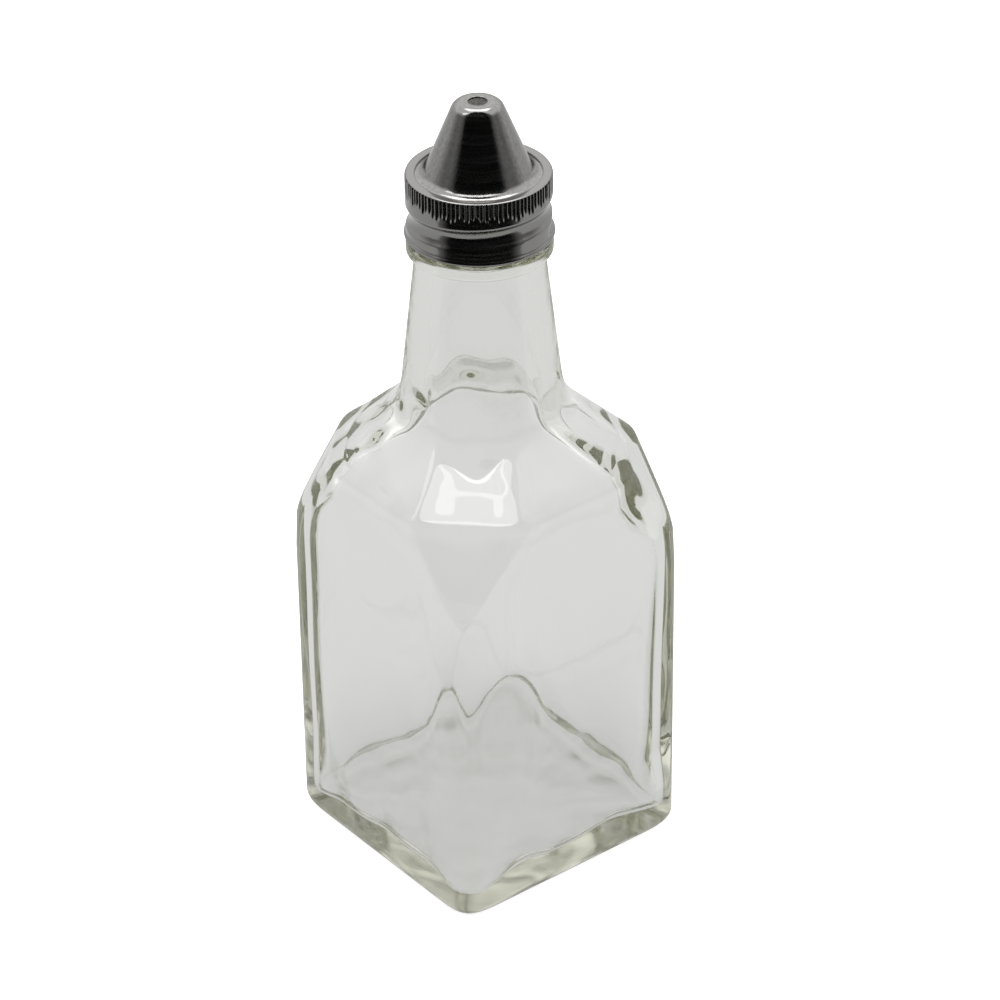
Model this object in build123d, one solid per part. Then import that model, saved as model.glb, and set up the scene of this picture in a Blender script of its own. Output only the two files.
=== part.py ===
from build123d import *
import os
from math import atan2, cos, degrees, pi, radians, sqrt, tan

# Square glass table cruet for oil or vinegar, with a screw band and a pouring cone.
# Millimetres, +Z up, origin at the centre of the base. The four corners lie on the
# diagonals of X and Y, and heights are measured from the table. A lean is the angle,
# in degrees, between a slope and upright.

# ---- glass body ----
SIDE = 60.0               # width across two opposite faces
CORNER_R = 5.5            # rounding of the four upright corners
HEEL_R = 4.0              # rounding between the faces and the base
FACET_FOOT_Z = 77.4       # lowest point of each steep corner facet
RIDGE_Z = 92.8            # height of the ridge where the shoulder starts
RIDGE_DIAGONAL = 31.3     # distance from the axis to a corner facet at the ridge
CORNER_LEAN = 51.3        # lean of the shoulder above the corner facets
FACE_LEAN = 48.6          # lean of the shoulder above the faces
EDGE_R = 2.5              # softening of the moulded edges of the shoulder
PUSH_UP_R = 19.0          # radius of the shallow hollow under the base
PUSH_UP_H = 0.8           # height of that hollow

# ---- neck and mouth ----
NECK_TOP_R = 13.2
NECK_TOP_Z = 140.3
NECK_LEAN = 6.4
FLARE_R = 15.0            # rounding between the shoulder and the neck
BEAD_R = 15.0             # ring of glass below the screw band
BEAD_H = 2.6
BEAD_ROUND = 0.7
FINISH_R = 12.75          # outside of the mouth between the threads
LIP_Z = 155.8             # top of the glass
LIP_ROUND = 0.9
BORE_R = 9.4              # inside of the mouth

# ---- hollow inside the glass ----
WALL = 2.6                # thickness of the four faces
BOTTOM = 5.2              # thickness of the base
SHOULDER_DROP = 2.1       # how far the hollow's ridge lies below the outer one
HOLLOW_CORNER_R = 7.0
HOLLOW_EDGE_R = 4.0       # rounding inside the base and the shoulder
HOLLOW_NECK_Z = 139.0     # height where the bore starts to widen downwards
HOLLOW_NECK_LEAN = 6.0
HOLLOW_FLARE_R = 12.0

# ---- screw thread, one start, right-handed, six turns to the inch ----
PITCH = 25.4 / 6
THREAD_FRONT = 232.0      # degrees from +X at which the rolled groove is GROOVE_Z high
GROOVE_Z = 149.6
GROOVE_START = -270.0     # ends of the groove, in degrees of turn from that place
GROOVE_END = 140.0
GROOVE_DEPTH = 0.9
GROOVE_STEEL = 0.25       # steel left under the groove, thinned by the rolling
ROLLER_R = 2.4            # radius of the roller's rim, which pressed the groove
RIB_RISE = 2.0            # height of the glass thread above the groove that hooks under it
RIB_START = -200.0
RIB_END = 205.0
RIB_R = 1.1               # radius of the round glass thread
RIB_CREST_R = 13.95       # distance from the axis to its crest

# ---- screw band, pressed steel ----
BAND_R = 14.9
BAND_STEEL = 0.4
BAND_HOLE_R = 12.8        # edge of the hole in its top
BAND_SHOULDER_R = 0.6
CURL_R = 0.62             # radius of the curled lower rim
CURL_OUT_R = 15.3
CURL_LOW_Z = 143.8
FLUTES = 100
FLUTE_DEPTH = 0.32
FLUTE_TOP_Z = 157.2
FLUTE_LOW_Z = 153.4

# ---- pouring cone, pressed steel ----
CONE_STEEL = 0.5
CONE_FLANGE_R = 13.7
CONE_FOOT_R = 11.3        # where the cone's side would meet its flange
CONE_TOP_Z = 173.2
CONE_LEAN = 22.3
CONE_FOOT_ROUND = 2.2
CONE_TOP_ROUND = 2.4
HOLE_R = 1.95

# ---- sealing washer ----
WASHER_T = 1.0
WASHER_R = 13.8
WASHER_HOLE_R = 9.7

# The washer, the cone's flange and the top of the band lie on the lip in that order.
CONE_LOW_Z = LIP_Z + WASHER_T
BAND_UNDER_Z = CONE_LOW_Z + CONE_STEEL
BAND_TOP_Z = BAND_UNDER_Z + BAND_STEEL


def slope_cut(azimuth, distance, height, lean):
    """A block to cut away: its near face goes through one point and leans in."""
    size = 4 * SIDE
    block = Pos(size / 2, 0, 0) * Box(size, size, size)
    return Rot(0, 0, azimuth) * Pos(distance, 0, height) * Rot(0, -lean, 0) * block


def shouldered_block(side, corner_r, low_z, ridge_z, ridge_diagonal, facet_lean, top_z):
    """A square block whose top slopes in on eight sides above four steep corner facets."""
    block = extrude(Pos(0, 0, low_z) * RectangleRounded(side, side, corner_r), top_z - low_z)
    for quarter in range(4):
        corner = 45 + 90 * quarter
        block -= slope_cut(corner, ridge_diagonal, ridge_z, facet_lean)
        block -= slope_cut(corner, ridge_diagonal, ridge_z, CORNER_LEAN)
        block -= slope_cut(90 * quarter, side / 2, ridge_z, FACE_LEAN)
    return block


def edges_between(part, low_z, high_z):
    """The edges whose middles lie between two heights."""
    return part.edges().filter_by(lambda edge: low_z < edge.center().Z < high_z)


def neck_foot(side, ridge_z, top_r, top_z, lean):
    """Where the shoulder above the faces meets the line of the neck, as (radius, height)."""
    slope = tan(radians(FACE_LEAN))
    taper = tan(radians(lean))
    foot_z = (side / 2 + slope * ridge_z - top_r - taper * top_z) / (slope - taper)
    return top_r + taper * (top_z - foot_z), foot_z


def vertices_at(sketch, *places):
    """The vertices of a sketch drawn in X and Z that lie at the given places."""
    near = lambda v: any(abs(v.X - x) + abs(v.Z - z) < 0.01 for x, z in places)
    return sketch.vertices().filter_by(near)


def drawn(*points):
    """A closed outline drawn in X (distance from the axis) and Z."""
    return make_face(Plane.XZ * Polyline(*points, close=True))


def thread_place(turn):
    """The place that carries a thread's section from the XZ plane to one turn, in degrees."""
    return Pos(0, 0, GROOVE_Z + PITCH * turn / 360) * Rot(0, 0, THREAD_FRONT + turn)


def glass_bottle():
    facet_lean = degrees(atan2(
        SIDE / sqrt(2) - CORNER_R * (sqrt(2) - 1) - RIDGE_DIAGONAL, RIDGE_Z - FACET_FOOT_Z))
    foot_r, foot_z = neck_foot(SIDE, RIDGE_Z, NECK_TOP_R, NECK_TOP_Z, NECK_LEAN)
    body = shouldered_block(SIDE, CORNER_R, 0, RIDGE_Z, RIDGE_DIAGONAL, facet_lean, foot_z)
    body = fillet(edges_between(body, -1, 1), HEEL_R)
    body = fillet(edges_between(body, FACET_FOOT_Z - 2, foot_z - 1), EDGE_R)

    bead_top = NECK_TOP_Z + BEAD_H
    neck = drawn(
        (0, RIDGE_Z), (SIDE / 2, RIDGE_Z), (foot_r, foot_z), (NECK_TOP_R, NECK_TOP_Z),
        (BEAD_R, NECK_TOP_Z), (BEAD_R, bead_top), (FINISH_R, bead_top), (FINISH_R, LIP_Z),
        (0, LIP_Z))
    neck = fillet(vertices_at(neck, (foot_r, foot_z)), FLARE_R)
    neck = fillet(vertices_at(neck, (BEAD_R, NECK_TOP_Z), (BEAD_R, bead_top)), BEAD_ROUND)
    neck = fillet(vertices_at(neck, (FINISH_R, LIP_Z)), LIP_ROUND)
    body += revolve(neck, Axis.Z)

    rib_axis_r = RIB_CREST_R - RIB_R
    path = Helix(PITCH, PITCH * (RIB_END - RIB_START) / 360, rib_axis_r)
    rib = sweep(Plane(path @ 0, z_dir=path % 0) * Circle(RIB_R), path)
    body += Pos(0, 0, RIB_RISE) * thread_place(RIB_START) * rib
    for turn in (RIB_START, RIB_END):
        body += Pos(0, 0, RIB_RISE) * thread_place(turn) * Pos(rib_axis_r, 0, 0) * Sphere(RIB_R)

    ball_r = (PUSH_UP_R ** 2 + PUSH_UP_H ** 2) / (2 * PUSH_UP_H)
    body -= Pos(0, 0, PUSH_UP_H - ball_r) * Sphere(ball_r)
    return body - hollow(facet_lean)


def hollow(facet_lean):
    """The space inside the glass, from the base up through the mouth."""
    side = SIDE - 2 * WALL
    ridge_z = RIDGE_Z - SHOULDER_DROP
    foot_r, foot_z = neck_foot(side, ridge_z, BORE_R, HOLLOW_NECK_Z, HOLLOW_NECK_LEAN)
    room = shouldered_block(side, HOLLOW_CORNER_R, BOTTOM, ridge_z,
                            RIDGE_DIAGONAL - SHOULDER_DROP, facet_lean, foot_z)
    room = fillet(edges_between(room, BOTTOM - 1, BOTTOM + 1), HOLLOW_EDGE_R)
    room = fillet(edges_between(room, FACET_FOOT_Z, foot_z - 1), HOLLOW_EDGE_R)
    neck = drawn(
        (0, ridge_z), (side / 2, ridge_z), (foot_r, foot_z), (BORE_R, HOLLOW_NECK_Z),
        (BORE_R, LIP_Z), (BORE_R + LIP_ROUND, LIP_Z + LIP_ROUND), (0, LIP_Z + LIP_ROUND))
    neck = fillet(vertices_at(neck, (foot_r, foot_z)), HOLLOW_FLARE_R)
    return room + revolve(neck, Axis.Z)


def rolled_bars(bar_r, chord_r):
    """Three bars along the groove: its wound length, and two that run straight off the band."""
    axis_r = BAND_R - GROOVE_DEPTH + ROLLER_R
    half = sqrt(bar_r ** 2 - (axis_r - chord_r) ** 2)
    rim = ThreePointArc((chord_r, half), (axis_r - bar_r, 0), (chord_r, -half))
    section = make_face(Plane.XZ * (rim + Line((chord_r, -half), (chord_r, half))))
    path = Helix(PITCH, PITCH * (GROOVE_END - GROOVE_START) / 360, axis_r)
    bars = [thread_place(GROOVE_START) * sweep(section, path, is_frenet=True)]
    climb = PITCH / (2 * pi * axis_r)
    for turn, sense in ((GROOVE_START, -1), (GROOVE_END, 1)):
        straight = extrude(section, 6 * GROOVE_DEPTH, dir=(0, sense, sense * climb))
        bars.append(thread_place(turn) * straight)
    return bars


def screw_band():
    inner_r = BAND_R - BAND_STEEL
    middle_r = BAND_R - BAND_STEEL / 2
    curl_z = CURL_LOW_Z + CURL_R
    wall = drawn(
        (BAND_HOLE_R, BAND_TOP_Z), (BAND_R, BAND_TOP_Z), (BAND_R, curl_z), (inner_r, curl_z),
        (inner_r, BAND_UNDER_Z), (BAND_HOLE_R, BAND_UNDER_Z))
    wall = fillet(vertices_at(wall, (BAND_R, BAND_TOP_Z)), BAND_SHOULDER_R)
    wall = fillet(vertices_at(wall, (inner_r, BAND_UNDER_Z)), BAND_SHOULDER_R - BAND_STEEL)
    band = revolve(wall, Axis.Z)

    stock_h = BAND_UNDER_Z - curl_z
    stock = Pos(0, 0, curl_z + stock_h / 2) * Cylinder(middle_r, stock_h)
    rib, *run_outs = rolled_bars(ROLLER_R + GROOVE_STEEL, middle_r)
    band += rib
    for run_out in run_outs:
        band += run_out & stock
    for bar in rolled_bars(ROLLER_R, BAND_R + BAND_STEEL / 2):
        band -= bar
    band += Pos(0, 0, curl_z) * Torus(CURL_OUT_R - CURL_R, CURL_R)
    return band - flutes()


def flutes():
    """The V-shaped cuts of the knurl, which run out towards their lower ends."""
    height = FLUTE_TOP_Z - FLUTE_LOW_Z
    half_pitch = pi * BAND_R / FLUTES
    depth = 2 * FLUTE_DEPTH
    profile = Polyline((0, 0), (depth, 1.8 * half_pitch), (depth, -1.8 * half_pitch), close=True)
    cut = extrude(make_face(profile), 1.2 * height)
    lean = degrees(atan2(FLUTE_DEPTH, height))
    cut = Pos(BAND_R, 0, FLUTE_LOW_Z) * Rot(0, -lean, 0) * cut
    return [Rot(0, 0, 360 / FLUTES * number) * cut for number in range(FLUTES)]


def pour_cone():
    slope = tan(radians(CONE_LEAN))
    across = CONE_STEEL / cos(radians(CONE_LEAN)) - slope * CONE_STEEL
    top_r = CONE_FOOT_R - slope * (CONE_TOP_Z - BAND_UNDER_Z)
    foot_inside = (CONE_FOOT_R - across, CONE_LOW_Z)
    top_inside = (top_r - across, CONE_TOP_Z - CONE_STEEL)
    wall = drawn(
        (CONE_FLANGE_R, CONE_LOW_Z), (CONE_FLANGE_R, BAND_UNDER_Z), (CONE_FOOT_R, BAND_UNDER_Z),
        (top_r, CONE_TOP_Z), (HOLE_R, CONE_TOP_Z), (HOLE_R, CONE_TOP_Z - CONE_STEEL),
        top_inside, foot_inside)
    wall = fillet(vertices_at(wall, (CONE_FOOT_R, BAND_UNDER_Z)), CONE_FOOT_ROUND)
    wall = fillet(vertices_at(wall, foot_inside), CONE_FOOT_ROUND + CONE_STEEL)
    wall = fillet(vertices_at(wall, (top_r, CONE_TOP_Z)), CONE_TOP_ROUND)
    wall = fillet(vertices_at(wall, top_inside), CONE_TOP_ROUND - CONE_STEEL)
    return revolve(wall, Axis.Z)


def sealing_washer():
    ring = Cylinder(WASHER_R, WASHER_T) - Cylinder(WASHER_HOLE_R, WASHER_T)
    return Pos(0, 0, LIP_Z + WASHER_T / 2) * ring


os.makedirs("parts", exist_ok=True)
for make_piece in (glass_bottle, screw_band, pour_cone, sealing_washer):
    export_step(make_piece(), "parts/" + make_piece.__name__ + ".step")
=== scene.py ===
import math
import bpy
import numpy as np
from mathutils import Matrix, Vector


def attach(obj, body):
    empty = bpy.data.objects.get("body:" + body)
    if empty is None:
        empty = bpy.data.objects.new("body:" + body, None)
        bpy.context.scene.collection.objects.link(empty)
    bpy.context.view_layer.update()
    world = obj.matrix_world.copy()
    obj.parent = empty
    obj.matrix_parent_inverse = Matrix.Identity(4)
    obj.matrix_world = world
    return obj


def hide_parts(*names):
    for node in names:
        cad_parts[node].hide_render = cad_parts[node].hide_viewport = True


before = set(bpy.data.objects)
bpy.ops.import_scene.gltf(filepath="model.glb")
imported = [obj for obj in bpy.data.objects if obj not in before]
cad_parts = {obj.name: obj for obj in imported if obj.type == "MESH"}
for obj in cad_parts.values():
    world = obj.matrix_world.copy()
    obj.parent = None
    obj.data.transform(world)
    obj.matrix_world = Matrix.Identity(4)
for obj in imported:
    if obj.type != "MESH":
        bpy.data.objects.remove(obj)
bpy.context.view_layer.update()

# ---------------------------------------------------------------- glass bottle
# The bottle is one piece of soda-lime glass, blown in a two-part square mould: flat faces,
# a faceted shoulder and a round neck outside, and a softer hollow inside. Its section is
# drawn as a round vessel, spun, and then pressed square ring by ring, as the mould does it.

# All sizes are in mm, and places round the axis are angles from +X. Of the bottle's corners,
# the back one is at 45 degrees, the right one at -45 and the front one at -135.

# The body: its width, and the rounding of its upright edges and of its heel.
SIDE, CORNER_R, HEEL_R = 60.0, 5.5, 4.0
# The shoulder: its ridge, the foot of the steep facets that cut the corners below it, and the
# lean from upright of its slopes over the corners, its slopes over the faces, and the facets.
RIDGE_Z, RIDGE_DIAGONAL, FACET_FOOT_Z = 92.8, 31.3, 77.4
CORNER_LEAN, FACE_LEAN = math.radians(51.3), math.radians(48.6)
FACET_LEAN = math.atan2(SIDE / math.sqrt(2) - CORNER_R * (math.sqrt(2) - 1) - RIDGE_DIAGONAL,
                        RIDGE_Z - FACET_FOOT_Z)
# How far the surface turns over the hips between the slopes, in radians, the rounding of the
# facets' edges, the hips and the ridge, and how much rounder the ridge is at the corners.
FACE_HIP_TURN, CORNER_HIP_TURN = 0.97, 0.50
OUTER_ROUNDINGS, HOLLOW_ROUNDINGS = (20.0, 9.0, 2.5), (26.0, 14.0, 12.0)
ROUNDER_AT_CORNERS = 1.6
# The push-up under the base, and the neck with the flare at its foot.
PUSH_UP_R, PUSH_UP_H = 19.0, 0.8
NECK_TOP_R, NECK_TOP_Z, NECK_LEAN = 13.2, 140.3, math.radians(6.4)
FLARE_R, FLARE_TOP_Z = 15.0, 111.0
# The bead below the finish, the finish that the cap screws on, its lip, and the bore.
BEAD_R, BEAD_H, BEAD_ROUND = 15.0, 2.6, 0.7
FINISH_R, LIP_Z, LIP_ROUND, BORE_R, BORE_ROUND = 12.75, 155.8, 0.9, 9.4, 0.5
# The hollow: the glass round it and under it, its corners and how much sharper two of them
# are, its floor's edge, its ridge, lower and further in than the outer one, and its neck.
WALL, BOTTOM, HOLLOW_CORNER_R, FLOOR_EDGE_R = 2.6, 5.2, 7.0, 1.2
BACK_CORNER_SHARPER, RIGHT_CORNER_SHARPER = 4.0, 1.7
HOLLOW_HALF, HOLLOW_RIDGE_Z, HOLLOW_DIAGONAL = SIDE / 2 - WALL, RIDGE_Z - 2.3, RIDGE_DIAGONAL - 3.2
HOLLOW_NECK_Z, HOLLOW_NECK_LEAN, HOLLOW_FLARE_R = 139.0, math.radians(6.0), 12.0
# The thread: its pitch, the angle of its front, and its rib's height there, ends and section.
PITCH, THREAD_FRONT, RIB_Z, RIB_START, RIB_END = 25.4 / 6, 232.0, 151.6, -200.0, 205.0
RIB_R, RIB_CREST_R = 1.1, 13.95


def arc(centre_r, centre_z, radius, start, end, count):
    """Points along an arc of a circle in the section, angles in degrees."""
    turn = np.radians(np.linspace(start, end, count))
    return [(centre_r + radius * math.cos(t), centre_z + radius * math.sin(t)) for t in turn]


def spin_section(name, points, columns):
    """Draws a section by extruding one vertex from point to point, and spins it round Z."""
    bpy.ops.object.select_all(action="DESELECT")
    bpy.ops.mesh.primitive_plane_add(size=0.001, location=(0, 0, 0))
    piece = bpy.context.object
    piece.name = piece.data.name = name
    bpy.ops.object.mode_set(mode="EDIT")
    bpy.ops.mesh.merge(type="CENTER")
    bpy.ops.object.mode_set(mode="OBJECT")
    bpy.ops.object.mode_set(mode="EDIT")
    bpy.ops.mesh.select_all(action="SELECT")
    bpy.ops.transform.translate(value=(points[0][0] / 1000, 0, points[0][1] / 1000))
    for (last_r, last_z), (r, z) in zip(points, points[1:]):
        step = ((r - last_r) / 1000, 0, (z - last_z) / 1000)
        bpy.ops.mesh.extrude_region_move(TRANSFORM_OT_translate={"value": step})
    bpy.ops.object.mode_set(mode="OBJECT")
    rows = piece.data.attributes.new("row", "INT", "POINT")
    rows.data.foreach_set("value", range(len(points)))
    bpy.ops.object.mode_set(mode="EDIT")
    bpy.ops.mesh.select_all(action="SELECT")
    bpy.ops.mesh.remove_doubles(threshold=2e-6)
    bpy.ops.mesh.spin(steps=columns, angle=2 * math.pi, center=(0, 0, 0), axis=(0, 0, 1))
    bpy.ops.mesh.select_all(action="SELECT")
    bpy.ops.mesh.remove_doubles(threshold=2e-6)
    bpy.ops.mesh.normals_make_consistent(inside=False)
    bpy.ops.object.mode_set(mode="OBJECT")
    bpy.ops.object.shade_smooth()
    return piece


def spun_places(piece):
    """Each vertex's row in the section and its angle round Z; the row's mark is taken off."""
    count = len(piece.data.vertices)
    rows = np.empty(count, dtype=np.int32)
    piece.data.attributes["row"].data.foreach_get("value", rows)
    places = np.empty(count * 3)
    piece.data.vertices.foreach_get("co", places)
    x, y, _ = places.reshape(-1, 3).T
    piece.data.attributes.remove(piece.data.attributes["row"])
    return rows, np.arctan2(y, x)


def place_vertices(piece, radius, angle, z):
    """Moves every vertex to a radius, an angle and a height, in mm."""
    places = np.stack([radius * np.cos(angle), radius * np.sin(angle), z], axis=1) / 1000
    piece.data.vertices.foreach_set("co", places.ravel())
    piece.data.update()


def ramp(value, start, end):
    """Goes evenly from 0 at start to 1 at end, and no further either way."""
    return np.clip((value - start) / (end - start), 0, 1)


def ease(value, start, end):
    """Goes from 0 at start to 1 at end, slowly near both."""
    share = ramp(value, start, end)
    return share * share * (3 - 2 * share)


def hump(distance, width):
    """Is 1 in the middle, and falls away smoothly over a width to either side."""
    return np.exp(-(distance / width) ** 2)


def soft_max(a, b, reach):
    """The larger of two heights, with the edge between them softened."""
    near = np.maximum(reach - np.abs(a - b), 0) / reach
    return np.maximum(a, b) + near ** 3 * reach / 6


def soft_min(a, b, reach):
    """The smaller of two heights, softened in the same way."""
    return -soft_max(-a, -b, reach)


def edge_reach(radius, turn):
    """The reach of a soft edge of one radius, where the surface turns by an angle."""
    return 6 * radius * (1 - math.cos(turn / 2))


def walls(x, y, half, corner_r):
    """Height above the four upright faces, in mm: below zero is inside them."""
    return soft_max(np.abs(x) - half, np.abs(y) - half, edge_reach(corner_r, math.pi / 2))


def slopes(x, y, z, half, diagonal, ridge_z, skin, roundings):
    """The walls cut by the steep corner facets, and by the eight slopes of the shoulder."""
    edge_r, hip_r, ridge_r = roundings
    across = (np.abs(x) + np.abs(y)) / math.sqrt(2) - diagonal
    facet = across * math.cos(FACET_LEAN) + (z - ridge_z) * math.sin(FACET_LEAN)
    corner = across * math.cos(CORNER_LEAN) + (z - ridge_z) * math.sin(CORNER_LEAN)
    rise = (z - ridge_z) * math.sin(FACE_LEAN)
    face_x = (np.abs(x) - half) * math.cos(FACE_LEAN) + rise
    face_y = (np.abs(y) - half) * math.cos(FACE_LEAN) + rise
    skin = soft_max(skin, facet, edge_reach(edge_r, FACET_LEAN))
    roof = soft_max(face_x, face_y, edge_reach(hip_r, FACE_HIP_TURN))
    roof = soft_max(roof, corner, edge_reach(hip_r, CORNER_HIP_TURN))
    narrow = np.minimum(np.abs(x), np.abs(y)) / np.maximum(np.maximum(np.abs(x), np.abs(y)), 0.1)
    at_corner = ramp(narrow, 0.36, 0.56)
    reach = (edge_reach(ridge_r, FACE_LEAN) * (1 - at_corner)
             + edge_reach(ROUNDER_AT_CORNERS * ridge_r, CORNER_LEAN - FACET_LEAN) * at_corner)
    return soft_max(skin, roof, reach)


def with_neck(x, y, z, skin, neck_r, neck_z, lean, flare_r):
    """Joins the round neck to the shoulder with a flare; the neck's cone ends inside it."""
    neck = (np.hypot(x, y) - neck_r - math.tan(lean) * (neck_z - z)) * math.cos(lean)
    neck = np.maximum(neck, HOLLOW_RIDGE_Z - z)
    return soft_min(skin, neck, edge_reach(flare_r, FACE_LEAN - lean))


# How far the slopes over the corners swell, between which heights, what share of that they
# lose towards the X faces and gain towards the Y faces, and their fine unevenness.
SWELL, SWELL_START_Z, SWELL_FULL_Z = 0.17, 96.8, 101.8
SWELL_LESS_X, SWELL_MORE_Y, SLOPE_RIPPLE = 0.8, 0.9, 0.035


def slope_swell(x, y, z):
    """How far the slopes over the corners stand out; it fades where the neck begins."""
    sideways = (np.abs(y) - np.abs(x)) / math.sqrt(2)
    swell = SWELL * ease(z, SWELL_START_Z, SWELL_FULL_Z)
    swell = swell * (1 - SWELL_LESS_X * ease(sideways, -1, -9)
                     + SWELL_MORE_Y * ramp(sideways, 2, 9) ** 2)
    ripple = SLOPE_RIPPLE * np.sin(sideways / 1.9 + 0.8) * np.sin(z / 1.9 + 0.5)
    return (swell - ripple * ramp(z, RIDGE_Z + 1, RIDGE_Z + 4)) * ramp(z, 120, 108)


def outer_skin(x, y, z):
    """Height above the outside of the bottle, from its heel to its neck."""
    skin = walls(x, y, SIDE / 2, CORNER_R)
    skin = slopes(x, y, z, SIDE / 2, RIDGE_DIAGONAL, RIDGE_Z, skin, OUTER_ROUNDINGS)
    return with_neck(x, y, z, skin - slope_swell(x, y, z), NECK_TOP_R, NECK_TOP_Z, NECK_LEAN, FLARE_R)


def settle_waves(x, y, z):
    """Unevenness of the hollow, strongest near the base, where the blown glass settled.

    Each wave is its height in mm times sines of a length, a phase and a drift with height.
    """
    low = np.exp(-np.maximum(z - 9, 0) / 14)
    wave = 0.17 * np.sin(x / 2.0 + 0.7 + z / 9) * np.sin(y / 2.3 + 1.9 - z / 14)
    wave += 0.14 * np.sin((x - y) / 3.0 + z / 6 + 2.2) + 0.08 * np.sin((x + y) / 2.6 - z / 5)
    broad = 0.12 * np.sin(x / 7 + z / 17 + 0.4) * np.sin(y / 6 - z / 13 + 1.1)
    flare = 0.22 * np.sin(x / 2.6 + z / 4 + 1.0) * np.sin(y / 2.2 - z / 5)
    return wave * low + broad + flare * ramp(z, 84, 94)


# Where the glass ran together, as thickness, place and width: a heap under the ridge at the
# right corner, a run down that corner, given by height, and low on the wall a sag on one side
# of the front corner and a dent on its other side.
HEAP, HEAP_Z, HEAP_WIDTH, HEAP_HEIGHT = 1.6, 84.0, 14.0, 8.0
RUN = {10: 0.0, 20: 1.0, 40: 0.7, 70: 0.3, 86: 0.0}
RUN_WIDTH = 9.0
SAG, SAG_TURN, SAG_WIDTH = 1.2, 12.0, 9.0
DENT, DENT_TURN, DENT_WIDTH = 0.2, -13.0, 14.0
SAG_START_Z, SAG_FULL_Z, SAG_LOW_Z, SAG_FOOT_Z = 60.0, 44.0, 22.0, 12.0


def thick_places(x, y, z):
    """The extra glass at the right corner and beside the front one, in mm."""
    from_right = np.degrees(np.arctan2(y, x)) + 45
    from_front = from_right % 360 - 270
    heap = HEAP * hump(from_right, HEAP_WIDTH) * hump(z - HEAP_Z, HEAP_HEIGHT)
    run = hump(from_right, RUN_WIDTH) * np.interp(z, list(RUN), list(RUN.values()))
    level = ease(z, SAG_START_Z, SAG_FULL_Z) * ramp(z, SAG_FOOT_Z, SAG_LOW_Z)
    sag = SAG * hump(from_front - SAG_TURN, SAG_WIDTH)
    dent = DENT * hump(from_front - DENT_TURN, DENT_WIDTH)
    return heap + run + level * (sag - dent)


# How far the floor of the hollow rises towards the walls, in mm, at angles in degrees: the
# glass settled thicker along the faces and in the back corner. The rise is smoothed by taking
# shares of it a few degrees to either side.
FLOOR_RISES = {
    18: 2.3, 34: 2.2, 40: 3.6, 46: 4.2, 52: 2.2, 64: 1.7, 80: 2.1, 105: 2.8, 122: 1.6, 135: 0.1,
    152: 2.4, 178: 4.0, 200: 4.4, 214: 3.8, 225: -0.6, 236: 3.2, 243: 4.6, 258: 3.4, 272: 2.6,
    294: 4.6, 307: 2.4, 315: 0.1, 338: 2.5, 358: 3.8, 378: 2.3}
FLOOR_SHARES = {-5: 0.1, -2.5: 0.25, 0: 0.3, 2.5: 0.25, 5: 0.1}


def floor_rise(x, y):
    """The height that the floor gains towards the walls, with fine waves on its back half."""
    around = np.degrees(np.arctan2(y, x))
    first = min(FLOOR_RISES)
    rise = 0
    for shift, share in FLOOR_SHARES.items():
        turned = (around + shift - first) % 360 + first
        rise = rise + share * np.interp(turned, list(FLOOR_RISES), list(FLOOR_RISES.values()))
    back = np.clip(np.cos(np.radians(around - 48)) * 2 + 0.4, 0, 1)
    waves = 0.2 * np.sin(np.radians(27 * around) + 1.0) + 0.3 * np.sin(np.radians(16 * around) + 2.0)
    outward = np.maximum(np.abs(x), np.abs(y)) / HOLLOW_HALF
    return (rise + back * waves) * np.clip(outward, 0, 1.1) ** 5


def hollow_skin(x, y, z):
    """Height above the surface of the hollow, from its floor to its bore."""
    cornerwise = (x + np.abs(y)) / np.maximum(np.hypot(x, y), 1)
    sharper = np.where(y > 0, BACK_CORNER_SHARPER, RIGHT_CORNER_SHARPER)
    skin = walls(x, y, HOLLOW_HALF, HOLLOW_CORNER_R - sharper * ramp(cornerwise, 1.12, 1.32))
    skin = slopes(x, y, z, HOLLOW_HALF, HOLLOW_DIAGONAL, HOLLOW_RIDGE_Z, skin, HOLLOW_ROUNDINGS)
    skin = soft_max(skin, BOTTOM + floor_rise(x, y) - z, edge_reach(FLOOR_EDGE_R, math.pi / 2))
    skin = with_neck(x, y, z, skin, BORE_R, HOLLOW_NECK_Z, HOLLOW_NECK_LEAN, HOLLOW_FLARE_R)
    return skin + (settle_waves(x, y, z) + thick_places(x, y, z)) * ramp(z, 118, 106)


def way_to_skin(skin, angle, lift, start_z):
    """How far it is to a skin from a point on the axis, along a direction, by halving."""
    out, rise = np.cos(lift), np.sin(lift)
    low, high = np.zeros(angle.shape), np.full(angle.shape, SIDE)
    for _ in range(34):
        middle = (low + high) / 2
        outside = skin(middle * out * np.cos(angle), middle * out * np.sin(angle),
                       start_z + middle * rise) > 0
        high = np.where(outside, middle, high)
        low = np.where(outside, low, middle)
    return (low + high) / 2


def wall_end(angle, half, corner_r, diagonal, ridge_z):
    """Where the wall ends at each angle: at the steep facets' lower edges, or near the ridge."""
    wall_r = way_to_skin(lambda x, y, z: walls(x, y, half, corner_r), angle, 0.0, 0.0)
    across = wall_r * (np.abs(np.cos(angle)) + np.abs(np.sin(angle))) / math.sqrt(2)
    return np.minimum(ridge_z - (across - diagonal) / math.tan(FACET_LEAN), ridge_z - 4)


# The section's rows: distance from the axis, height, and the part of the mould that presses
# them. Pressed rows start at the drum's radius. A wall's rows have a place between its feature
# lines instead of a height, and the hollow floor's rows a direction, in degrees, from the
# point on the axis at FLOOR_VIEW_Z. The columns crowd to half their spacing at the corners.
COLUMNS, CROWDING, DRUM_R, FLOOR_VIEW_Z = 280, 0.5, 30.0, 24.0
section = []


def add_rows(zone, points):
    """Adds rows to the section, from the base up the outside and down the hollow."""
    section.extend((r, z, zone) for r, z in points)


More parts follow.
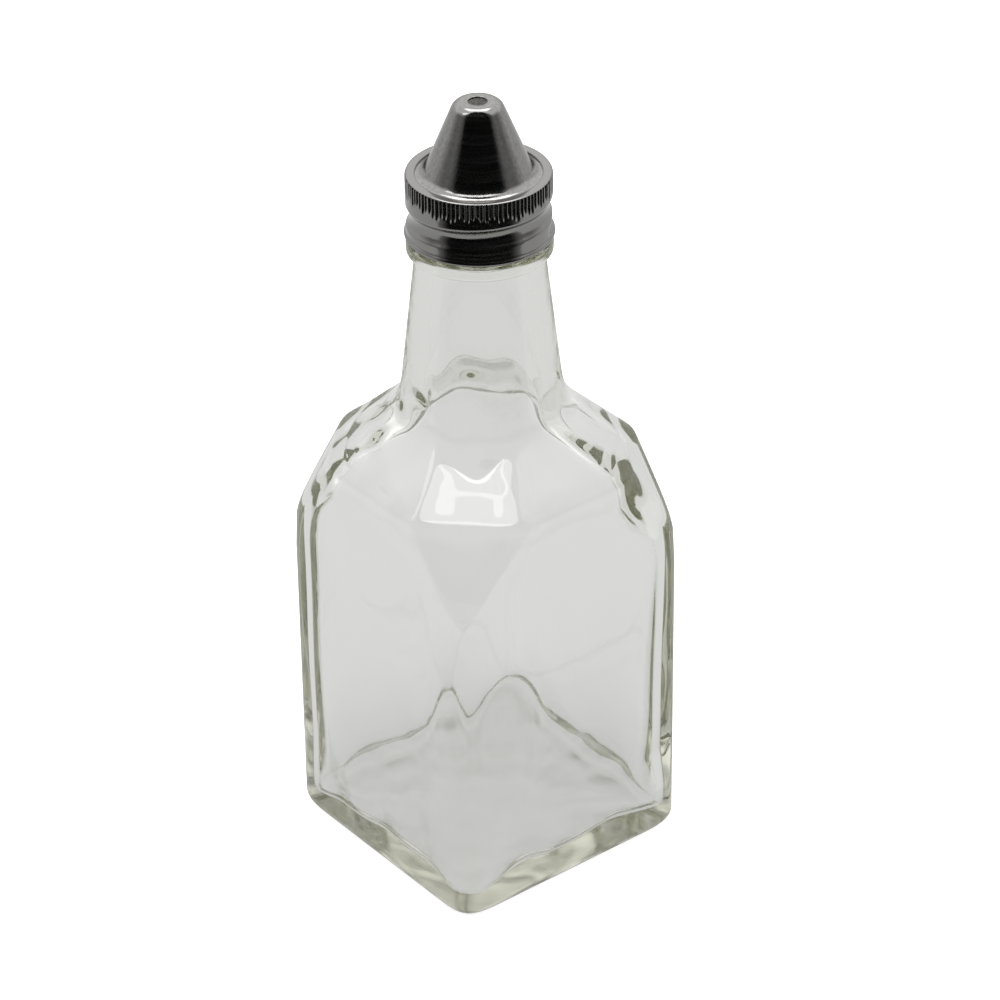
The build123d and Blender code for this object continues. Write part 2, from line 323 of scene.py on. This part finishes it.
ball_r = (PUSH_UP_R ** 2 + PUSH_UP_H ** 2) / (2 * PUSH_UP_H)
add_rows("base", [(r, PUSH_UP_H - ball_r + math.sqrt(ball_r ** 2 - r ** 2))
                  for r in np.linspace(0, PUSH_UP_R, 7)])
add_rows("base", [(r, 0) for r in np.linspace(PUSH_UP_R + 1, SIDE / 2 - HEEL_R, 7)])
add_rows("base", arc(SIDE / 2 - HEEL_R, HEEL_R, HEEL_R, -85, -4, 12))
add_rows("wall", [(DRUM_R, t) for t in [*np.linspace(0, 0.999, 10), *np.linspace(1, 1.999, 16),
                                        *np.linspace(2, 2.999, 12), *np.linspace(3, 4, 16)]])
add_rows("shoulder", [(DRUM_R, z) for z in [*np.linspace(RIDGE_Z + 2, FLARE_TOP_Z, 34),
                                            *np.linspace(FLARE_TOP_Z + 1.5, NECK_TOP_Z - 0.4, 13)]])
bead_top = NECK_TOP_Z + BEAD_H
add_rows("round", [(NECK_TOP_R + 0.05, NECK_TOP_Z - 0.12), (NECK_TOP_R + 0.25, NECK_TOP_Z)])
add_rows("round", arc(BEAD_R - BEAD_ROUND, NECK_TOP_Z + BEAD_ROUND, BEAD_ROUND, -90, 0, 7))
add_rows("round", arc(BEAD_R - BEAD_ROUND, bead_top - BEAD_ROUND, BEAD_ROUND, 0, 90, 7))
add_rows("round", [(FINISH_R + 0.25, bead_top), (FINISH_R, bead_top + 0.25)])
add_rows("thread", [(FINISH_R, z) for z in np.linspace(bead_top + 0.5, LIP_Z - LIP_ROUND, 32)])
add_rows("round", arc(FINISH_R - LIP_ROUND, LIP_Z - LIP_ROUND, LIP_ROUND, 15, 90, 6))
add_rows("round", [(BORE_R + 1.2, LIP_Z)])
add_rows("round", arc(BORE_R + BORE_ROUND, LIP_Z - BORE_ROUND, BORE_ROUND, 90, 180, 5))
add_rows("round", [(BORE_R, z) for z in np.linspace(LIP_Z - 1.5, HOLLOW_NECK_Z + 1, 8)])
add_rows("hollow_shoulder", [(DRUM_R, z) for z in [
    *np.linspace(HOLLOW_NECK_Z - 0.5, FLARE_TOP_Z + 1, 12),
    *np.linspace(FLARE_TOP_Z - 0.5, HOLLOW_RIDGE_Z + 3, 26)]])
add_rows("hollow_wall", [(DRUM_R, t) for t in [
    *np.linspace(4, 3, 12), *np.linspace(2.999, 2, 10),
    *np.linspace(1.999, 1, 10), *np.linspace(0.999, 0, 24)]])
add_rows("hollow_floor", [(DRUM_R, lift) for lift in [
    *np.linspace(-2, -14, 6), *np.linspace(-16, -50, 40), *np.linspace(-53, -90, 12)]])

# The rows are spun as a plain closed drum, 0.5 mm apart, so that no two rings merge. Each ring
# then goes to its own place.
drum = [(0.0 if i in (0, len(section) - 1) else DRUM_R, i / 2) for i in range(len(section))]
bottle = spin_section("Glass_Bottle", drum, COLUMNS)
row, angle = spun_places(bottle)
angle = angle + CROWDING * np.sin(4 * angle) / 4
zones = np.array([zone for _, _, zone in section])[row]
radius = np.array([float(r) for r, _, _ in section])[row]
height = np.array([float(z) for _, z, _ in section])[row]


def press_wall(zone, foot, end, ridge_z, soft, skin):
    """Places a wall's rows between its feature lines, and presses them to a skin.

    The lines are its foot, a little below and above its end, and a little below and above the
    ridge, in mm.
    """
    chosen = zones == zone
    lines = [np.full(end.shape, foot), end - soft, np.minimum(end + soft, ridge_z - 2.3),
             np.full(end.shape, ridge_z - 2), np.full(end.shape, ridge_z + 1.7)]
    band = np.minimum(height[chosen].astype(int), 3)
    share = height[chosen] - band
    height[chosen] = np.choose(band, lines[:4]) * (1 - share) + np.choose(band, lines[1:]) * share
    radius[chosen] = way_to_skin(skin, angle[chosen], 0.0, height[chosen])


outer_end = wall_end(angle[zones == "wall"], SIDE / 2, CORNER_R, RIDGE_DIAGONAL, RIDGE_Z)
press_wall("wall", HEEL_R, outer_end, RIDGE_Z, 2.0, outer_skin)
hollow_end = wall_end(angle[zones == "hollow_wall"], HOLLOW_HALF, HOLLOW_CORNER_R,
                      HOLLOW_DIAGONAL, HOLLOW_RIDGE_Z)
press_wall("hollow_wall", FLOOR_VIEW_Z, hollow_end, HOLLOW_RIDGE_Z, 3.0, hollow_skin)
for zone, skin in (("shoulder", outer_skin), ("hollow_shoulder", hollow_skin)):
    chosen = zones == zone
    radius[chosen] = way_to_skin(skin, angle[chosen], 0.0, height[chosen])
chosen = zones == "hollow_floor"
lift = np.radians(height[chosen])
way = way_to_skin(hollow_skin, angle[chosen], lift, FLOOR_VIEW_Z)
radius[chosen], height[chosen] = way * np.cos(lift), FLOOR_VIEW_Z + way * np.sin(lift)

# The base goes from round at the push-up to square at the heel.
chosen = zones == "base"
inset = SIDE / 2 - radius[chosen]
square = way_to_skin(lambda x, y, z: walls(x, y, SIDE / 2, CORNER_R) + inset,
                     angle[chosen], 0.0, 0.0)
squareness = ramp(radius[chosen], PUSH_UP_R, SIDE / 2 - HEEL_R)
radius[chosen] += squareness * (square - radius[chosen])


def thread_turns(angle):
    """Each vertex's angle past the thread's front, in degrees, on three turns of the thread."""
    turn = (np.degrees(angle) - THREAD_FRONT + 180) % 360 - 180
    return turn - 360, turn, turn + 360


thread = zones == "thread"
for turn in thread_turns(angle):
    beyond = np.radians(np.maximum(np.maximum(RIB_START - turn, turn - RIB_END), 0)) * FINISH_R
    distance = np.hypot(height - RIB_Z - PITCH * turn / 360, beyond)
    rib = RIB_CREST_R - RIB_R + np.sqrt(np.maximum(RIB_R ** 2 - distance ** 2, 0))
    radius = np.where(thread & (distance < RIB_R), np.maximum(radius, rib), radius)
place_vertices(bottle, radius, angle, height)


def srgb(hex_colour):
    """Turns an sRGB hex colour to linear."""
    parts = [int(hex_colour[i:i + 2], 16) / 255 for i in (1, 3, 5)]
    return tuple(c / 12.92 if c <= 0.04045 else ((c + 0.055) / 1.055) ** 2.4 for c in parts) + (1.0,)


def add_node(material, kind, inputs=None, **settings):
    """Adds one node with its settings, and sets or links its inputs."""
    made = material.node_tree.nodes.new(kind)
    for name, value in settings.items():
        setattr(made, name, value)
    for name, value in (inputs or {}).items():
        if isinstance(value, bpy.types.NodeSocket):
            material.node_tree.links.new(value, made.inputs[name])
        else:
            made.inputs[name].default_value = value
    return made


def new_material(name):
    """A named material with no nodes yet."""
    material = bpy.data.materials.new(name)
    material.use_nodes = True
    material.node_tree.nodes.clear()
    return material


# Flint soda-lime glass, blown and fire-polished: clear through a wall, green along its edges.
# Its surface ripples over some 20 mm, and is stippled matt where the bottle stands.
glass = new_material("Soda_Lime_Glass")
place = add_node(glass, "ShaderNodeTexCoord").outputs["Object"]
waves = add_node(glass, "ShaderNodeTexNoise", {"Vector": place, "Scale": 45.0, "Detail": 1.0})
ripple = add_node(glass, "ShaderNodeBump", {
    "Height": waves.outputs["Fac"], "Strength": 0.05, "Distance": 0.001})
height_up = add_node(glass, "ShaderNodeSeparateXYZ", {"Vector": place})
stipple = add_node(glass, "ShaderNodeMapRange", {
    "Value": height_up.outputs["Z"], "From Min": 0.0012, "From Max": 0.003,
    "To Min": 0.16, "To Max": 0.0})
shine = add_node(glass, "ShaderNodeBsdfPrincipled", {
    "Base Color": srgb("#ffffff"), "Roughness": stipple.outputs["Result"], "IOR": 1.52,
    "Transmission Weight": 1.0, "Normal": ripple.outputs["Normal"]})
tint = add_node(glass, "ShaderNodeVolumeAbsorption", {"Color": srgb("#cbccb4"), "Density": 18.0})
add_node(glass, "ShaderNodeOutputMaterial", {
    "Surface": shine.outputs["BSDF"], "Volume": tint.outputs["Volume"]})
bottle.data.materials.append(glass)
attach(bottle, "bottle")
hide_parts("glass_bottle")

# ---------------------------------------------------------------- screw band
# The band is pressed from stainless sheet: its thread is rolled in from outside, its lower
# rim is curled outwards, and its knurl is rolled below the shoulder as a grip.

# Its side, its sheet's thickness, the hole that the cone passes through, and its roundings.
BAND_R, BAND_STEEL, BAND_HOLE_R, BAND_SHOULDER_R, BAND_EDGE_R = 14.9, 0.4, 12.8, 0.6, 0.33
BAND_UNDER_Z, BAND_TOP_Z, BAND_SIDE_LOW_Z, BAND_INSIDE_LOW_Z = 157.3, 157.7, 145.35, 145.5
CURL_R, CURL_OUT_R, CURL_LOW_Z = 0.62, 15.3, 143.8
# The knurl: how many grooves and how deep, how many columns of the mesh one has and over how
# many it rises to each side, and the heights where it starts, ends and has its full depth.
FLUTES, FLUTE_DEPTH, FLUTE_COLUMNS, FLUTE_HALF = 100, 0.48, 6, 2.6
FLUTE_TOP_Z, FLUTE_LOW_Z = 157.55, 153.4
FLUTE_FULL_Z = FLUTE_LOW_Z + (FLUTE_TOP_Z - FLUTE_LOW_Z) / 3.2
# The thread's groove, its ends, and the roller whose shape it has, outside and inside.
GROOVE_Z, GROOVE_START, GROOVE_END, GROOVE_DEPTH = 149.6, -270.0, 140.0, 0.9
ROLLER_R, ROLLER_INSIDE_R = 3.1, 3.45

# The section starts at the hole, and goes over the top, down the side, round the curl and up
# the inside.
SHOULDER_ROWS = 12
shoulder_z, inside_r = BAND_TOP_Z - BAND_SHOULDER_R, BAND_R - BAND_STEEL
curl_z, curl_mid = CURL_LOW_Z + CURL_R, CURL_OUT_R - CURL_R
band_rows = [(BAND_HOLE_R, BAND_UNDER_Z + 0.05)]
band_rows += arc(BAND_HOLE_R + BAND_EDGE_R, BAND_TOP_Z - BAND_EDGE_R, BAND_EDGE_R, 180, 92, 7)
band_rows += [(BAND_R - BAND_SHOULDER_R - 0.1, BAND_TOP_Z)]
band_rows += arc(BAND_R - BAND_SHOULDER_R, shoulder_z, BAND_SHOULDER_R, 88, 2, SHOULDER_ROWS)
first_side = len(band_rows)
band_rows += [(BAND_R, z) for z in np.linspace(shoulder_z - 0.1, BAND_SIDE_LOW_Z, 58)]
last_side = len(band_rows)
band_rows += [(BAND_R + 0.03, 145.15), (BAND_R + 0.12, 144.98)]
band_rows += arc(curl_mid, curl_z, CURL_R, 48, -180, 18)
band_rows += [(inside_r - 0.2, 144.9), (inside_r, 145.2)]
first_inside = len(band_rows)
band_rows += [(inside_r, z) for z in np.linspace(BAND_INSIDE_LOW_Z, BAND_UNDER_Z - 0.7, 40)]
last_inside = len(band_rows)
band_rows += arc(inside_r - 0.3, BAND_UNDER_Z - 0.3, 0.3, 15, 90, 5)
band_rows += [(BAND_HOLE_R + 0.1, BAND_UNDER_Z), band_rows[0]]
band = spin_section("Screw_Band", band_rows, FLUTE_COLUMNS * FLUTES)
row, angle = spun_places(band)
radius = np.array([r for r, _ in band_rows])[row]
height = np.array([z for _, z in band_rows])[row]
outside = (row > first_side - SHOULDER_ROWS) & (row < last_side)
inside = (row >= first_inside) & (row < last_inside)
for chosen, roller_r, sharp in ((outside, ROLLER_R, 0.5), (inside, ROLLER_INSIDE_R, 0.6)):
    for turn in thread_turns(angle):
        beyond = np.clip(np.maximum(GROOVE_START - turn, turn - GROOVE_END), 0, 60)
        axis_r = (BAND_R - GROOVE_DEPTH + ROLLER_R) / np.cos(np.radians(beyond))
        dz = height - GROOVE_Z - PITCH * turn / 360
        groove = axis_r - np.sqrt(np.maximum(roller_r ** 2 - dz ** 2, 0))
        rolled = soft_min(radius, groove, sharp)
        near = chosen & (np.abs(dz) < roller_r) & (groove < radius + sharp)
        radius = np.where(near, rolled, radius)

# The knurl's grooves aren't spaced evenly: they drift by up to a tenth of their width, and in
# places every second one stands nearer to the next. They also differ in depth and length.
column = np.round((angle % (2 * np.pi)) / (2 * np.pi) * FLUTE_COLUMNS * FLUTES).astype(int)
column = column % (FLUTE_COLUMNS * FLUTES) + FLUTE_COLUMNS // 2
flute = column // FLUTE_COLUMNS % FLUTES
in_flute = np.minimum(np.abs(column % FLUTE_COLUMNS - FLUTE_COLUMNS // 2) / FLUTE_HALF, 1)
drift = np.sin(flute * 2.4) * 0.35 + np.sin(flute * 0.7 + 1.3) * 0.3
pair = 0.25 * np.where(flute % 2 == 0, 1, -1) * (0.5 + 0.5 * np.sin(flute * 0.31))
angle += (drift + pair) * 0.12 * 2 * np.pi / FLUTES
fade = ramp(height - 0.5 * np.sin(flute * 1.7), FLUTE_LOW_Z, FLUTE_FULL_Z)
fade *= ramp(height, FLUTE_TOP_Z, FLUTE_TOP_Z - 0.1)
depth = FLUTE_DEPTH * (1 + 0.25 * np.sin(flute * 3.1)) * (1 - in_flute) * fade
radius = np.where(outside | (inside & (height < BAND_UNDER_Z - 0.4)), radius - depth, radius)
place_vertices(band, radius, angle, height)

# Stainless steel sheet, spun and lightly brushed: grey, with soft streaks round the axis. The
# brush marks are drawn half a millimetre apart, coarser than real ones, so that they show.
steel = new_material("Stainless_Steel_Band")
place = add_node(steel, "ShaderNodeTexCoord").outputs["Object"]
stretch = add_node(steel, "ShaderNodeMapping", {"Vector": place, "Scale": (60.0, 60.0, 1800.0)})
grain = add_node(steel, "ShaderNodeTexNoise", {
    "Vector": stretch.outputs["Vector"], "Scale": 1.0, "Detail": 4.0})
rough = add_node(steel, "ShaderNodeMapRange", {
    "Value": grain.outputs["Fac"], "From Min": 0.3, "From Max": 0.7, "To Min": 0.11, "To Max": 0.21})
brushed = add_node(steel, "ShaderNodeBump", {
    "Height": grain.outputs["Fac"], "Strength": 0.07, "Distance": 0.0004})
shine = add_node(steel, "ShaderNodeBsdfPrincipled", {
    "Base Color": srgb("#8e8d8b"), "Metallic": 1.0, "Roughness": rough.outputs["Result"],
    "Normal": brushed.outputs["Normal"]})
add_node(steel, "ShaderNodeOutputMaterial", {"Surface": shine.outputs["BSDF"]})
band.data.materials.append(steel)
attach(band, "band")
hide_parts("screw_band")

# ---------------------------------------------------------------- pouring cone
# The cone is drawn from stainless sheet, with one pouring hole pierced in its rounded top.
# Its flange lies under the band's top, on the sealing washer.
CONE_STEEL, CONE_FLANGE_R, CONE_FOOT_R, CONE_LOW_Z = 0.5, 13.7, 11.3, 156.8
CONE_TOP_Z, CONE_LEAN, HOLE_R = 173.2, math.radians(22.3), 1.95
CONE_FOOT_ROUND, CONE_TOP_ROUND, HOLE_ROUND, CUT_ROUND = 2.2, 2.4, 0.15, 0.12
FLANGE_TOP_Z = BAND_UNDER_Z - 0.02


def rounded(corners):
    """A section's points from corners given as (r, z, rounding), each rounded by an arc."""
    points = []
    for i, (r, z, rounding) in enumerate(corners):
        here = np.array([r, z])
        back = np.array(corners[i - 1][:2]) - here
        ahead = np.array(corners[(i + 1) % len(corners)][:2]) - here
        back, ahead = back / np.linalg.norm(back), ahead / np.linalg.norm(ahead)
        half = math.acos(np.clip(back @ ahead, -1, 1)) / 2
        start, end = here + back * rounding / math.tan(half), here + ahead * rounding / math.tan(half)
        bisector = (back + ahead) / np.linalg.norm(back + ahead)
        centre = here + bisector * rounding / math.sin(half)
        steps = 14 if rounding > 0.5 else 4
        a, b = start - centre, end - centre
        span = math.acos(np.clip(a @ b / rounding ** 2, -1, 1))
        for s in np.linspace(0, 1, steps):
            point = centre + (a * math.sin((1 - s) * span) + b * math.sin(s * span)) / math.sin(span)
            points.append((float(point[0]), float(point[1])))
    return points


slope = math.tan(CONE_LEAN)
across = CONE_STEEL / math.cos(CONE_LEAN) - slope * CONE_STEEL
top_r = CONE_FOOT_R - slope * (CONE_TOP_Z - BAND_UNDER_Z)
cone_rows = rounded([
    (CONE_FLANGE_R, CONE_LOW_Z, CUT_ROUND), (CONE_FLANGE_R, FLANGE_TOP_Z, CUT_ROUND),
    (CONE_FOOT_R, FLANGE_TOP_Z, CONE_FOOT_ROUND), (top_r, CONE_TOP_Z, CONE_TOP_ROUND),
    (HOLE_R, CONE_TOP_Z, HOLE_ROUND), (HOLE_R, CONE_TOP_Z - CONE_STEEL, CUT_ROUND),
    (top_r - across, CONE_TOP_Z - CONE_STEEL, CONE_TOP_ROUND - CONE_STEEL),
    (CONE_FOOT_R - across, CONE_LOW_Z, CONE_FOOT_ROUND + CONE_STEEL)])
cone = spin_section("Pour_Cone", cone_rows + cone_rows[:1], 160)
cone.data.attributes.remove(cone.data.attributes["row"])

# Stainless steel sheet, drawn and polished: smoother than the band, and lighter in blotches
# of about a millimetre.
drawn = new_material("Stainless_Steel_Cone")
place = add_node(drawn, "ShaderNodeTexCoord").outputs["Object"]
stretch = add_node(drawn, "ShaderNodeMapping", {"Vector": place, "Scale": (70.0, 70.0, 1500.0)})
grain = add_node(drawn, "ShaderNodeTexNoise", {
    "Vector": stretch.outputs["Vector"], "Scale": 1.0, "Detail": 4.0})
rough = add_node(drawn, "ShaderNodeMapRange", {
    "Value": grain.outputs["Fac"], "From Min": 0.3, "From Max": 0.7, "To Min": 0.09, "To Max": 0.19})
blotches = add_node(drawn, "ShaderNodeTexNoise", {"Vector": place, "Scale": 1300.0, "Detail": 3.0})
tone = add_node(drawn, "ShaderNodeMix", {
    "Factor": blotches.outputs["Fac"], "A": srgb("#777674"), "B": srgb("#a4a3a1")}, data_type="RGBA")
brushed = add_node(drawn, "ShaderNodeBump", {
    "Height": blotches.outputs["Fac"], "Strength": 0.05, "Distance": 0.0004})
shine = add_node(drawn, "ShaderNodeBsdfPrincipled", {
    "Base Color": tone.outputs["Result"], "Metallic": 1.0, "Roughness": rough.outputs["Result"],
    "Normal": brushed.outputs["Normal"]})
add_node(drawn, "ShaderNodeOutputMaterial", {"Surface": shine.outputs["BSDF"]})
cone.data.materials.append(drawn)
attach(cone, "spout")
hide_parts("pour_cone")

# ---------------------------------------------------------------- sealing washer
# The washer is a flat ring of white polyethylene, punched from sheet. It lies loose between
# the lip of the glass and the cone's flange, and keeps the CAD shape.
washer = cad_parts["sealing_washer"]

# Low-density polyethylene sheet with a satin face: milky white, faintly mottled.
plastic = new_material("White_Polyethylene")
place = add_node(plastic, "ShaderNodeTexCoord").outputs["Object"]
mottle = add_node(plastic, "ShaderNodeTexNoise", {"Vector": place, "Scale": 700.0, "Detail": 2.0})
tone = add_node(plastic, "ShaderNodeMix", {
    "Factor": mottle.outputs["Fac"], "A": srgb("#e4e2da"), "B": srgb("#efeee8")}, data_type="RGBA")
shine = add_node(plastic, "ShaderNodeBsdfPrincipled", {
    "Base Color": tone.outputs["Result"], "Roughness": 0.5})
add_node(plastic, "ShaderNodeOutputMaterial", {"Surface": shine.outputs["BSDF"]})
washer.data.materials.clear()
washer.data.materials.append(plastic)

# ---------------------------------------------------------------- studio
# A pale paper floor in an even white surround. A softbox high in front lights the shoulder,
# two strips below it sharpen that highlight's edge, and another softbox stands behind. Black
# felt in front, which only reflections show, darkens the steel.

# The camera's place, in radians, metres and mm of lens, and the level way on past the bottle.
AZIMUTH, ELEVATION, ROLL = -0.664795439, 0.555602404, -0.0133248458
DISTANCE, SIDESTEP, AIM_Z, LENS = 0.887082167, -0.00338459026, 0.0802500338, 152.632697
AWAY = (0.617, 0.787, 0.0)
# How far off the lights are and how high they aim, in metres.
LIGHT_DISTANCE, LIGHT_AIM_Z = 0.8, 0.1

# The floor is one large disc, just below the base so that the two never share a face.
bpy.ops.object.select_all(action="DESELECT")
bpy.ops.mesh.primitive_circle_add(vertices=96, radius=6.0, fill_type="NGON", location=(0, 0, -0.0002))
floor = bpy.context.object
floor.name = "Studio_Floor"

# Matt white paper that glows a little, as on a light table. Reflections and the glass show
# only its glow, which is weaker close to the bottle, in the bottle's own shade.
paper = new_material("White_Paper")
path = add_node(paper, "ShaderNodeLightPath")
matt = add_node(paper, "ShaderNodeBsdfDiffuse", {"Color": srgb("#e8e8e8")})
seen = add_node(paper, "ShaderNodeEmission", {"Color": srgb("#ffffff"), "Strength": 0.72})
lit = add_node(paper, "ShaderNodeAddShader", {0: matt.outputs["BSDF"], 1: seen.outputs["Emission"]})
place = add_node(paper, "ShaderNodeTexCoord").outputs["Object"]
away = add_node(paper, "ShaderNodeVectorMath", {0: place}, operation="LENGTH")
shade = add_node(paper, "ShaderNodeMapRange", {
    "Value": away.outputs["Value"], "From Min": 0.014, "From Max": 0.075,
    "To Min": 0.51, "To Max": 0.73}, interpolation_type="SMOOTHSTEP")
other = add_node(paper, "ShaderNodeEmission", {
    "Color": srgb("#fefffe"), "Strength": shade.outputs["Result"]})
pick = add_node(paper, "ShaderNodeMixShader", {
    0: path.outputs["Is Camera Ray"], 1: other.outputs["Emission"], 2: lit.outputs["Shader"]})
add_node(paper, "ShaderNodeOutputMaterial", {"Surface": pick.outputs["Shader"]})
floor.data.materials.append(paper)

# The surround: white where it is seen itself. In reflections and through the glass it is
# darker low down and in front, and brighter above and behind.
world = bpy.data.worlds.new("Studio_World")
bpy.context.scene.world = world
world.use_nodes = True
world.node_tree.nodes.clear()
path = add_node(world, "ShaderNodeLightPath")
place = add_node(world, "ShaderNodeTexCoord").outputs["Generated"]
split = add_node(world, "ShaderNodeSeparateXYZ", {"Vector": place})
behind = add_node(world, "ShaderNodeVectorMath", {0: place, 1: AWAY}, operation="DOT_PRODUCT")
low = add_node(world, "ShaderNodeMapRange", {
    "Value": split.outputs["Z"], "From Min": 0.2, "From Max": 0.45, "To Min": 0.8, "To Max": 1.3})
front = add_node(world, "ShaderNodeMapRange", {
    "Value": split.outputs["Z"], "From Min": 0.4, "From Max": 0.7, "To Min": 0.35, "To Max": 0.9})
back = add_node(world, "ShaderNodeMapRange", {
    "Value": behind.outputs["Value"], "From Min": -0.1, "From Max": 0.35,
    "To Min": front.outputs["Result"], "To Max": 1.0})
dim = add_node(world, "ShaderNodeMath", {
    0: low.outputs["Result"], 1: back.outputs["Result"]}, operation="MULTIPLY")
bright = add_node(world, "ShaderNodeMath", {
    0: path.outputs["Is Camera Ray"], 1: dim.outputs["Value"]}, operation="MAXIMUM")
sky = add_node(world, "ShaderNodeBackground", {
    "Color": srgb("#ffffff"), "Strength": bright.outputs["Value"]})
add_node(world, "ShaderNodeOutputWorld", {"Surface": sky.outputs["Background"]})


def direction(azimuth, elevation):
    """The direction from the bottle at an azimuth and an elevation, in radians."""
    return Vector((math.sin(azimuth) * math.cos(elevation), -math.cos(azimuth) * math.cos(elevation),
                   math.sin(elevation)))


# The camera: a long lens, seen from the front corner and above.
back = direction(AZIMUTH, ELEVATION)
right = (-back).cross(Vector((0, 0, 1))).normalized()
up = right.cross(-back)
rolled_right = right * math.cos(ROLL) + up * math.sin(ROLL)
rolled_up = -right * math.sin(ROLL) + up * math.cos(ROLL)
bpy.ops.object.camera_add(location=Vector((0, 0, AIM_Z)) + back * DISTANCE - right * SIDESTEP)
camera = bpy.context.object
camera.rotation_mode = "QUATERNION"
camera.rotation_quaternion = Matrix((rolled_right, rolled_up, back)).transposed().to_quaternion()
camera.data.lens = LENS
camera.data.sensor_width = 36
camera.data.clip_start, camera.data.clip_end = 0.01, 50
bpy.context.scene.camera = camera


def soft_light(name, azimuth, elevation, width, height, power):
    """A softbox that faces the bottle; azimuth from the camera's, in degrees."""
    out = direction(AZIMUTH + math.radians(azimuth), math.radians(elevation))
    bpy.ops.object.light_add(type="AREA", location=Vector((0, 0, LIGHT_AIM_Z)) + out * LIGHT_DISTANCE)
    light = bpy.context.object
    light.name = name
    light.rotation_mode = "QUATERNION"
    light.rotation_quaternion = out.to_track_quat("Z", "Y")
    light.data.shape = "RECTANGLE"
    light.data.size, light.data.size_y, light.data.energy = width, height, power
    light.visible_camera = light.visible_transmission = False


soft_light("Front_Softbox", -10, 71.0, 1.4, 0.2, 1.7)
soft_light("Softbox_Tube", -10, 67.0, 1.4, 0.02, 0.22)
soft_light("Softbox_Rim", -10, 63.8, 1.4, 0.01, 0.3)
soft_light("Rear_Softbox", 180, 68, 0.5, 0.3, 1.6)

# Black felt: nearly no light comes off it in the middle, and a little more at both ends, where
# the cards fade into the surround.
felt = new_material("Black_Felt")
place = add_node(felt, "ShaderNodeTexCoord").outputs["Object"]
level = add_node(felt, "ShaderNodeVectorMath", {0: place, 1: (1.0, 1.0, 0.0)}, operation="MULTIPLY")
level = add_node(felt, "ShaderNodeVectorMath", {0: level.outputs["Vector"]}, operation="NORMALIZE")
ahead = add_node(felt, "ShaderNodeVectorMath", {
    0: level.outputs["Vector"], 1: tuple(-part for part in AWAY)}, operation="DOT_PRODUCT")
fade = add_node(felt, "ShaderNodeMapRange", {
    "Value": ahead.outputs["Value"], "From Min": 0.45, "From Max": 0.68,
    "To Min": 0.25, "To Max": 0.004}, interpolation_type="SMOOTHSTEP")
dark = add_node(felt, "ShaderNodeEmission", {
    "Color": srgb("#ffffff"), "Strength": fade.outputs["Result"]})
add_node(felt, "ShaderNodeOutputMaterial", {"Surface": dark.outputs["Emission"]})


def felt_card(name, low, high, span, distance, centre_z):
    """A card curved round the axis in front, between two elevations; angles in degrees."""
    steps = 24
    verts = []
    for i in range(steps + 1):
        for elevation in (low, high):
            turn = math.radians(-span / 2 + span * i / steps)
            out = direction(AZIMUTH + turn, math.radians(elevation))
            verts.append(Vector((0, 0, centre_z)) + out * distance)
    mesh = bpy.data.meshes.new(name)
    mesh.from_pydata(verts, [], [(2 * i, 2 * i + 1, 2 * i + 3, 2 * i + 2) for i in range(steps)])
    mesh.materials.append(felt)
    card = bpy.data.objects.new(name, mesh)
    bpy.context.collection.objects.link(card)
    card.visible_camera = card.visible_diffuse = card.visible_shadow = False
    card.visible_transmission = False


felt_card("Black_Card", -36, 55, 130, 0.26, 0.15)
felt_card("Cap_Flag", 40, 82, 110, 0.025, 0.175)

# Light crosses many faces of the thick glass before it leaves, so it is followed far.
scene = bpy.context.scene
scene.view_settings.view_transform = "Standard"
scene.view_settings.look = "None"
scene.cycles.max_bounces = 64
scene.cycles.transmission_bounces = 64
scene.cycles.glossy_bounces = 64
scene.cycles.caustics_reflective = False
scene.cycles.caustics_refractive = True
scene.cycles.use_denoising = True
